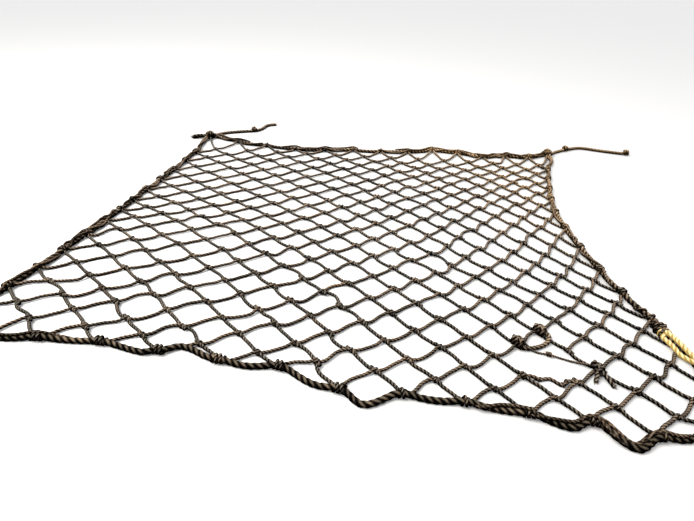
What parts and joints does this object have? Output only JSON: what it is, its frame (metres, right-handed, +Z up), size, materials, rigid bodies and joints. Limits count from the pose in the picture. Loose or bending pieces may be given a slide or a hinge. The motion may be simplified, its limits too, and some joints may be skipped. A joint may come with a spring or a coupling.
{
  "type": "climbing net",
  "caption": "Flat climbing net of knotted rope in diamond mesh, with a thick hitched border rope, a long tie rope at each far corner, a yellow lashing and a mended cell",
  "frame": {"origin": "on the ground under the middle of the net's own outline, without the two tie ropes", "axes": "+X to the right along the far edge, +Y from the near edge towards the far edge, +Z up"},
  "size_m": [4.2686, 3.4574, 0.084],
  "materials": {
    "netting_rope": "weathered, hairy natural fibre rope, dark grey-brown",
    "border_rope": "weathered, dirty laid rope, darker than the netting",
    "hitch_rope": "weathered, tightly hitched rope",
    "tether_rope": "weathered laid rope, a little lighter than the border",
    "yellow_rope": "plastic-fibre rope, straw yellow, slightly dirty",
    "mend_cord": "thin twisted natural cord, light brown"
  },
  "bodies": {
    "far_strip": {"netting_row_01": "netting_rope", "netting_row_02": "netting_rope", "netting_row_03": "netting_rope", "netting_row_04": "netting_rope", "netting_row_05": "netting_rope", "netting_row_06": "netting_rope", "netting_row_07": "netting_rope", "netting_row_08": "netting_rope", "far_border_rope": "border_rope", "left_border_rope_1": "border_rope", "right_border_rope_1": "border_rope", "border_hitches_1": "hitch_rope", "corner_knot_far_left": "border_rope", "corner_knot_far_right": "border_rope", "border_bitter_end": "border_rope", "tether_left": "tether_rope", "tether_left_knot": "tether_rope", "tether_right": "tether_rope", "tether_right_knot": "tether_rope", "tether_right_end_knot": "tether_rope"},
    "far_middle_strip": {"netting_row_09": "netting_rope", "netting_row_10": "netting_rope", "netting_row_11": "netting_rope", "netting_row_12": "netting_rope", "netting_row_13": "netting_rope", "netting_row_14": "netting_rope", "left_border_rope_2": "border_rope", "right_border_rope_2": "border_rope", "border_hitches_2": "hitch_rope"},
    "near_middle_strip": {"netting_row_15": "netting_rope", "netting_row_16": "netting_rope", "netting_row_17": "netting_rope", "netting_row_18": "netting_rope", "netting_row_19": "netting_rope", "netting_row_20": "netting_rope", "left_border_rope_3": "border_rope", "right_border_rope_3": "border_rope", "border_hitches_3": "hitch_rope"},
    "near_strip": {"netting_row_21": "netting_rope", "netting_row_22": "netting_rope", "netting_row_23": "netting_rope", "netting_row_24": "netting_rope", "netting_row_25": "netting_rope", "netting_row_26": "netting_rope", "netting_row_27": "netting_rope", "near_border_rope": "border_rope", "left_border_rope_4": "border_rope", "right_border_rope_4": "border_rope", "border_hitches_4": "hitch_rope", "corner_knot_near_left": "border_rope", "corner_knot_near_right": "border_rope", "yellow_lashing": "yellow_rope", "yellow_knot": "yellow_rope", "mend_knots": "netting_rope", "mend_cord": "mend_cord", "mend_cord_knot": "mend_cord", "mend_splice": "netting_rope"}
  },
  "joints": [
    {"name": "far_fold", "type": "hinge", "parent": "far_strip", "child": "far_middle_strip", "pos_m": [0, 0.52259, 0.026], "axis": [1, 0, 0], "range_deg": [-65, 65]},
    {"name": "middle_fold", "type": "hinge", "parent": "far_middle_strip", "child": "near_middle_strip", "pos_m": [0, -0.05296, 0.026], "axis": [0.998, -0.0633, 0], "range_deg": [-65, 65]},
    {"name": "near_fold", "type": "hinge", "parent": "near_middle_strip", "child": "near_strip", "pos_m": [0, -0.62852, 0.026], "axis": [0.994, -0.1093, 0], "range_deg": [-65, 65]}
  ]
}
